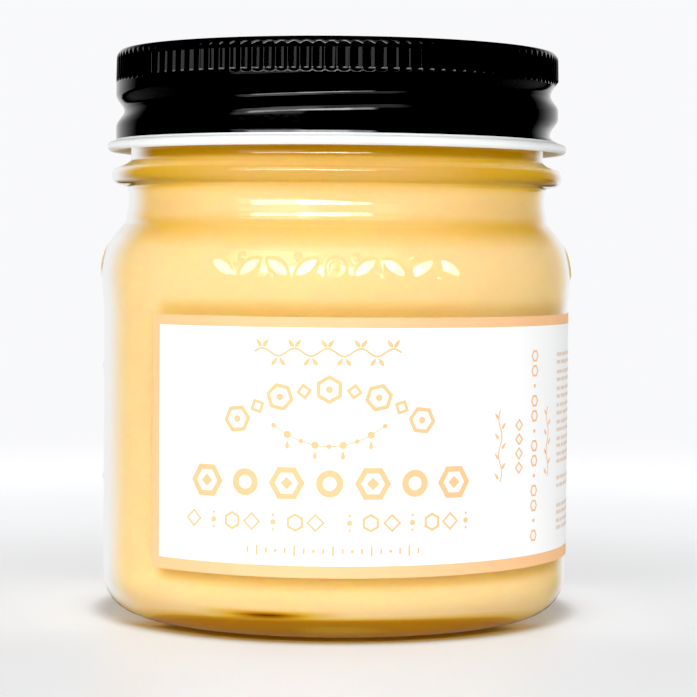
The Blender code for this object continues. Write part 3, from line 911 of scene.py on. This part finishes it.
# arch of open cells and lozenges
for k in range(9):
    lean = math.radians(-36.0 + 9.0 * k)
    arch_u = ARCH_RADIUS * math.sin(lean)
    arch_z = ARCH_TOP - ARCH_RADIUS * (1.0 - math.cos(lean))
    if k % 2:
        lozenge = polygon_outline(4, math.pi / 2 - lean)
        ornament.append(shaped_ring(arch_u, arch_z, 0.62, 1.25, lozenge, 32))
    else:
        cell = polygon_outline(6, math.pi / 2 - lean)
        ornament.append(shaped_ring(arch_u, arch_z, 1.5, 2.15, cell))
        ornament.append(shaped_ring(arch_u, arch_z, 0.05, 0.5, round_outline, 24))
# hanging string of beads, with a drop under every second one
t = np.linspace(-1.0, 1.0, 60)
ornament.append(pen_stroke(4.0 * BEAD_SPACING * t, STRING_FOOT + STRING_RISE * t ** 2, 0.16))
for k in range(-4, 5):
    u = BEAD_SPACING * k
    z = STRING_FOOT + STRING_RISE * (k / 4.0) ** 2
    ornament.append(dot(u, z, 0.55 if k % 2 else 0.36, 24))
    if k % 2:
        ornament.append(drop(u, z - 1.5, 90.0, 1.3, 0.6))
# bold row
for k in range(7):
    u = -18.9 + 6.35 * k
    if k % 2:
        ornament.append(shaped_ring(u, BOLD_Z, 1.0, 2.0, round_outline, 64))
    else:
        ornament.append(shaped_ring(u, BOLD_Z, 1.75, 2.7, polygon_outline(6), 60))
        ornament.append(shaped_ring(u, BOLD_Z, DOT_HOLE, 0.95, polygon_outline(4), 32))
# light row
for k, u in enumerate(LIGHT_PLACES):
    if k % 3 == 1:
        ornament.append(dot(u, LIGHT_Z, 0.42, 20))
        ornament.append(dot(u, LIGHT_Z - 1.08, 0.22))
        ornament.append(dot(u, LIGHT_Z + 1.08, 0.22))
    else:
        outline = polygon_outline(4 if k % 3 == 0 else 6, math.pi / 2)
        ornament.append(shaped_ring(u, LIGHT_Z, 0.96, 1.4, outline, 36))
# fine row of dots and dashes
for k, u in enumerate(np.arange(-12.1, 14.6, 1.42)):
    if k % 4 == 3:
        ornament.append(dot(u, FINE_Z, 0.26))
    else:
        rise = 0.75 if k % 4 == 1 else 0.42
        ornament.append(pen_stroke(np.array([u, u + 0.02]),
                                   np.array([FINE_Z - rise, FINE_Z + rise]), 0.3))
# sideways strip: two upright vines, four lozenges and a chain of cells and dots
for vine_u in (27.9, 40.6):
    t = np.linspace(0.0, 1.0, 60)
    ornament.append(pen_stroke(vine_u + 0.35 * np.sin(4 * np.pi * t), 23.0 + 10.8 * t, 0.2))
    for k in range(7):
        bud = 23.9 + 1.5 * k
        side = 1.0 if k % 2 else -1.0
        ornament.append(drop(vine_u + side * 0.75, bud, 90 - side * 40, 1.3, 0.42))
for k in range(4):
    ornament.append(shaped_ring(32.2, 24.9 + 2.15 * k, 0.62, 0.98, polygon_outline(4), 32))
for k in range(13):
    height = 14.3 + 2.28 * k
    if k % 3 == 1:
        ornament.append(dot(36.3, height, 0.3))
    else:
        ornament.append(shaped_ring(36.3, height, 0.66, 1.0, polygon_outline(6), 36))
print_ornament = joined_sheets("printed_ornament", ornament)
print_ornament.data.materials.append(apricot_ink)
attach(print_ornament, "root")

# Small print
# Round the right side runs a block of rows in a greyer tan, broken into short bars, and
# behind it a patch of cells.

# heights of the rows in millimetres, in paragraphs that end in a short row
ROW_HEIGHTS = (41.6, 40.4, 38.9, 37.7, 36.3, 35.1, 33.7, 32.5, 31.1, 29.9, 28.5, 27.4, 26.1, 25.0,
               22.4, 21.2, 18.1, 17.0, 15.7, 14.6)
SHORT_ROWS = (13, 15, 19)
BAR_HALF = 0.28
BAR_GAP = 0.55
CELL_SPACING = 4.4

small_print = []
rng = np.random.default_rng(5)
for k, height in enumerate(ROW_HEIGHTS):
    u = 44.4 + 0.025 * (ROW_HEIGHTS[0] - height)
    end = 70.0 - (9.0 if k in SHORT_ROWS else 0.0) - rng.uniform(0.0, 2.5)
    while u < end:
        length = rng.uniform(1.0, 3.2)
        small_print.append(printed_band(u * MILLI, (u + length) * MILLI,
                                        (height - BAR_HALF) * MILLI, (height + BAR_HALF) * MILLI))
        u += length + BAR_GAP
for k in range(7):
    for j in range(3):
        height = 19.0 + 0.75 * CELL_SPACING * (k + (0.5 if j % 2 else 0.0))
        small_print.append(shaped_ring(80.0 + CELL_SPACING * j, height, 1.35, 1.7,
                                       polygon_outline(6), 36))
fine_print = joined_sheets("small_print", small_print)
fine_print.data.materials.append(printing_ink("tan ink", (0.73, 0.58, 0.47, 1.0),
                                              (0.78, 0.64, 0.53, 1.0)))
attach(fine_print, "root")

# Stage, light and camera
# A pale table that fades into a near white background, soft boxes at both sides, window panes
# that only gloss mirrors, and a camera a little above the middle of the jar.

FOCAL_PIXELS = 2456.0
IMAGE_PIXELS = 697.0
SENSOR = 36.0
CAMERA_DISTANCE = 0.3938
CAMERA_HEIGHT = 0.0581
CAMERA_PITCH = 2.39
CAMERA_YAW = -0.303
CAMERA_ROLL = 0.45


def floor_surface():
    """A disc of table as rings: radius times (cos t, sin t), flat at z = 0."""
    radius = np.concatenate([[0.0], np.geomspace(0.02, 3.0, 40)])
    turns = np.radians(np.linspace(0.0, 360.0, 96, endpoint=False))
    flat = np.zeros((len(radius), len(turns)))
    return np.stack([radius[:, None] * np.cos(turns), radius[:, None] * np.sin(turns), flat], -1)


floor = grid_mesh("table", floor_surface(), around=True)


def between(tree, source, rise, full, hold, end):
    """1 from full to hold, rising smoothly from 0 at rise and falling back to 0 at end."""
    return combined(tree, "MULTIPLY", graded(tree, source, rise, full, 0.0, 1.0),
                    graded(tree, source, hold, end, 1.0, 0.0))


TABLE_BOUNCE = (0.85, 0.85, 0.85, 1.0)


def table_finish():
    """White table top, softly glossy, that fades away with distance, with a contact shadow painted
    by the heel and a glow of its own that lifts the jar's shadows.
    """
    made, tree, shader = new_material("table top")
    shader.inputs["Base Color"].default_value = (0.70, 0.705, 0.715, 1.0)
    shader.inputs["Roughness"].default_value = 0.42
    place = tree.nodes.new("ShaderNodeTexCoord")
    reach = tree.nodes.new("ShaderNodeVectorMath")
    reach.operation = "LENGTH"
    tree.links.new(place.outputs["Object"], reach.inputs[0])
    apart = reach.outputs["Value"]
    tree.links.new(graded(tree, apart, 0.07, 0.36, 1.0, 0.0), shader.inputs["Alpha"])
    # painted shadow and light close in front of the heel: a dark contact shadow that gives way to a
    # honey-coloured glow, paler at the sides
    painted_shade_tone = tree.nodes.new("ShaderNodeValToRGB")
    painted_shade_tone.color_ramp.interpolation = "EASE"
    stops = painted_shade_tone.color_ramp.elements
    stops[0].position, stops[0].color = 0.0, (0.07, 0.03, 0.002, 1.0)
    stops[1].position, stops[1].color = 1.0, (0.45, 0.455, 0.465, 1.0)
    middle = stops.new(0.35)
    middle.color = (0.34, 0.22, 0.07, 1.0)
    spot = tree.nodes.new("ShaderNodeSeparateXYZ")
    tree.links.new(place.outputs["Object"], spot.inputs[0])
    sideways = combined(tree, "DIVIDE",
                        combined(tree, "ABSOLUTE", spot.outputs["X"], 0.0), apart)
    beside = graded(tree, sideways, 0.72, 0.94, 0.0, 0.85)
    tree.links.new(combined(tree, "MAXIMUM", graded(tree, apart, 0.0333, 0.0395, 0.0, 1.0),
                            beside), painted_shade_tone.inputs["Fac"])
    rays = tree.nodes.new("ShaderNodeLightPath")
    tree.links.new(mixed(tree, rays.outputs["Is Diffuse Ray"], painted_shade_tone.outputs["Color"], TABLE_BOUNCE),
                   shader.inputs["Base Color"])
    # painted light: a faint glow of its own lifts the jar's shadows and keeps the table near white
    # round the jar, behind it, beside it and in the light that it sends back up
    shader.inputs["Emission Color"].default_value = (0.94, 0.945, 0.955, 1.0)
    behind = combined(tree, "MULTIPLY", graded(tree, spot.outputs["Y"], -0.05, 0.03, 0.0, 0.12),
                      between(tree, apart, 0.036, 0.045, 0.11, 0.19))
    painted_glow = graded(tree, apart, 0.0355, 0.0405, 0.0, 0.38)
    for part in (graded(tree, apart, 0.06, 0.24, 0.0, 0.3), behind,
                 combined(tree, "MULTIPLY", beside, graded(tree, apart, 0.042, 0.062, 0.1, 0.03)),
                 combined(tree, "MULTIPLY", rays.outputs["Is Diffuse Ray"], 0.16)):
        painted_glow = combined(tree, "ADD", painted_glow, part)
    tree.links.new(painted_glow, shader.inputs["Emission Strength"])
    return made


floor.data.materials.append(table_finish())
floor.visible_glossy = False


MIRRORED_FRONT = 0.0
MIRRORED_BACK = 1.2
FILL_LOW = 0.8
FILL_HIGH = 0.15
# left, right, low and high in degrees seen from the jar, width of the soft edge, brightness
WINDOW_PANES = (
    (-52.0, -20.0, 5.0, 14.0, 6.0, 2.2),
    (-44.0, 16.0, 10.0, 15.0, 5.0, 13.0),
    (-18.0, 4.0, 10.0, 16.0, 5.0, 14.0),
    (-52.0, -14.0, 21.0, 34.0, 8.0, 3.0),
    (-34.0, 28.0, 18.0, 40.0, 16.0, 1.6),
)


def studio_world():
    """Background: near white where it is looked at. What the glass and the lacquer mirror is
    bright behind the jar and dark in front but for the window panes, and the fill light
    comes mostly from below, as from a white table all round.
    """
    world = bpy.data.worlds.new("studio")
    world.use_nodes = True
    tree = world.node_tree
    tree.nodes.clear()
    place = tree.nodes.new("ShaderNodeTexCoord")
    split = tree.nodes.new("ShaderNodeSeparateXYZ")
    tree.links.new(place.outputs["Generated"], split.inputs[0])
    upward = split.outputs["Z"]
    forward = combined(tree, "MULTIPLY", split.outputs["Y"], -1.0)
    around = combined(tree, "ARCTAN2", split.outputs["X"], forward)
    mirrored = tree.nodes.new("ShaderNodeBackground")
    total = graded(tree, split.outputs["Y"], 0.5, 1.0, MIRRORED_FRONT, MIRRORED_BACK)
    total = combined(tree, "MULTIPLY", total, between(tree, upward, -0.17, -0.11, 0.2, 0.5))
    total = combined(tree, "ADD", total, graded(tree, upward, -0.35, -0.16, 0.2, 0.0))
    for left, right, low, high, edge, brightness in WINDOW_PANES:
        sides = np.radians((left - edge, left, right, right + edge))
        heights = np.sin(np.radians((low - 0.4 * edge, low, high, high + 0.6 * edge)))
        light = combined(tree, "MULTIPLY", between(tree, around, *sides),
                         between(tree, upward, *heights))
        light = combined(tree, "MULTIPLY", light, brightness)
        total = combined(tree, "ADD", total, light)
    tree.links.new(total, mirrored.inputs["Strength"])
    fill = tree.nodes.new("ShaderNodeBackground")
    tree.links.new(graded(tree, upward, -0.5, 0.05, FILL_LOW, FILL_HIGH),
                   fill.inputs["Strength"])
    backdrop = tree.nodes.new("ShaderNodeBackground")
    backdrop.inputs["Color"].default_value = (0.945, 0.947, 0.96, 1.0)
    rays = tree.nodes.new("ShaderNodeLightPath")
    first = tree.nodes.new("ShaderNodeMixShader")
    # a ray refracted by the glass counts as glossy too, and should see the backdrop
    reflected = combined(tree, "SUBTRACT", rays.outputs["Is Glossy Ray"],
                         rays.outputs["Is Transmission Ray"])
    tree.links.new(reflected, first.inputs["Fac"])
    tree.links.new(backdrop.outputs["Background"], first.inputs[1])
    tree.links.new(mirrored.outputs["Background"], first.inputs[2])
    second = tree.nodes.new("ShaderNodeMixShader")
    tree.links.new(rays.outputs["Is Diffuse Ray"], second.inputs["Fac"])
    tree.links.new(first.outputs["Shader"], second.inputs[1])
    tree.links.new(fill.outputs["Background"], second.inputs[2])
    output = tree.nodes.new("ShaderNodeOutputWorld")
    tree.links.new(second.outputs["Shader"], output.inputs["Surface"])
    return world


def soft_light(name, azimuth, elevation, distance, size, power):
    """A soft box of the given width and height that faces the jar. Azimuth is from the
    front, positive to the right. It lights the jar and isn't mirrored in it.
    """
    light = bpy.data.lights.new(name, "AREA")
    light.shape = "RECTANGLE"
    light.size, light.size_y = size
    light.energy = power
    lamp = bpy.data.objects.new(name, light)
    lamp.visible_glossy = False
    lamp.visible_transmission = False
    turn = Matrix.Rotation(math.radians(azimuth), 4, "Z")
    tilt = Matrix.Rotation(math.radians(90.0 - elevation), 4, "X")
    aim = Matrix.Translation((0.0, 0.0, 0.055))
    lamp.matrix_world = aim @ turn @ tilt @ Matrix.Translation((0.0, 0.0, distance))
    bpy.context.scene.collection.objects.link(lamp)


bpy.context.scene.world = studio_world()
soft_light("left key", -52.0, 30.0, 0.8, (0.8, 0.4), 4.0)
soft_light("right key", 48.0, 30.0, 0.8, (0.8, 0.4), 3.5)
soft_light("low card", -10.0, 8.0, 0.9, (1.6, 0.24), 4.6)

camera_data = bpy.data.cameras.new("camera")
camera_data.sensor_width = SENSOR
camera_data.lens = SENSOR * FOCAL_PIXELS / IMAGE_PIXELS
camera = bpy.data.objects.new("camera", camera_data)
camera.matrix_world = (Matrix.Translation((0.0, -CAMERA_DISTANCE, CAMERA_HEIGHT))
                       @ Matrix.Rotation(math.radians(CAMERA_YAW), 4, "Z")
                       @ Matrix.Rotation(math.radians(90.0 - CAMERA_PITCH), 4, "X")
                       @ Matrix.Rotation(math.radians(CAMERA_ROLL), 4, "Z"))
bpy.context.scene.collection.objects.link(camera)
bpy.context.scene.camera = camera
view = bpy.context.scene.view_settings
view.view_transform = "Standard"
view.use_curve_mapping = True
view.curve_mapping.black_level = (0.012, 0.012, 0.012)
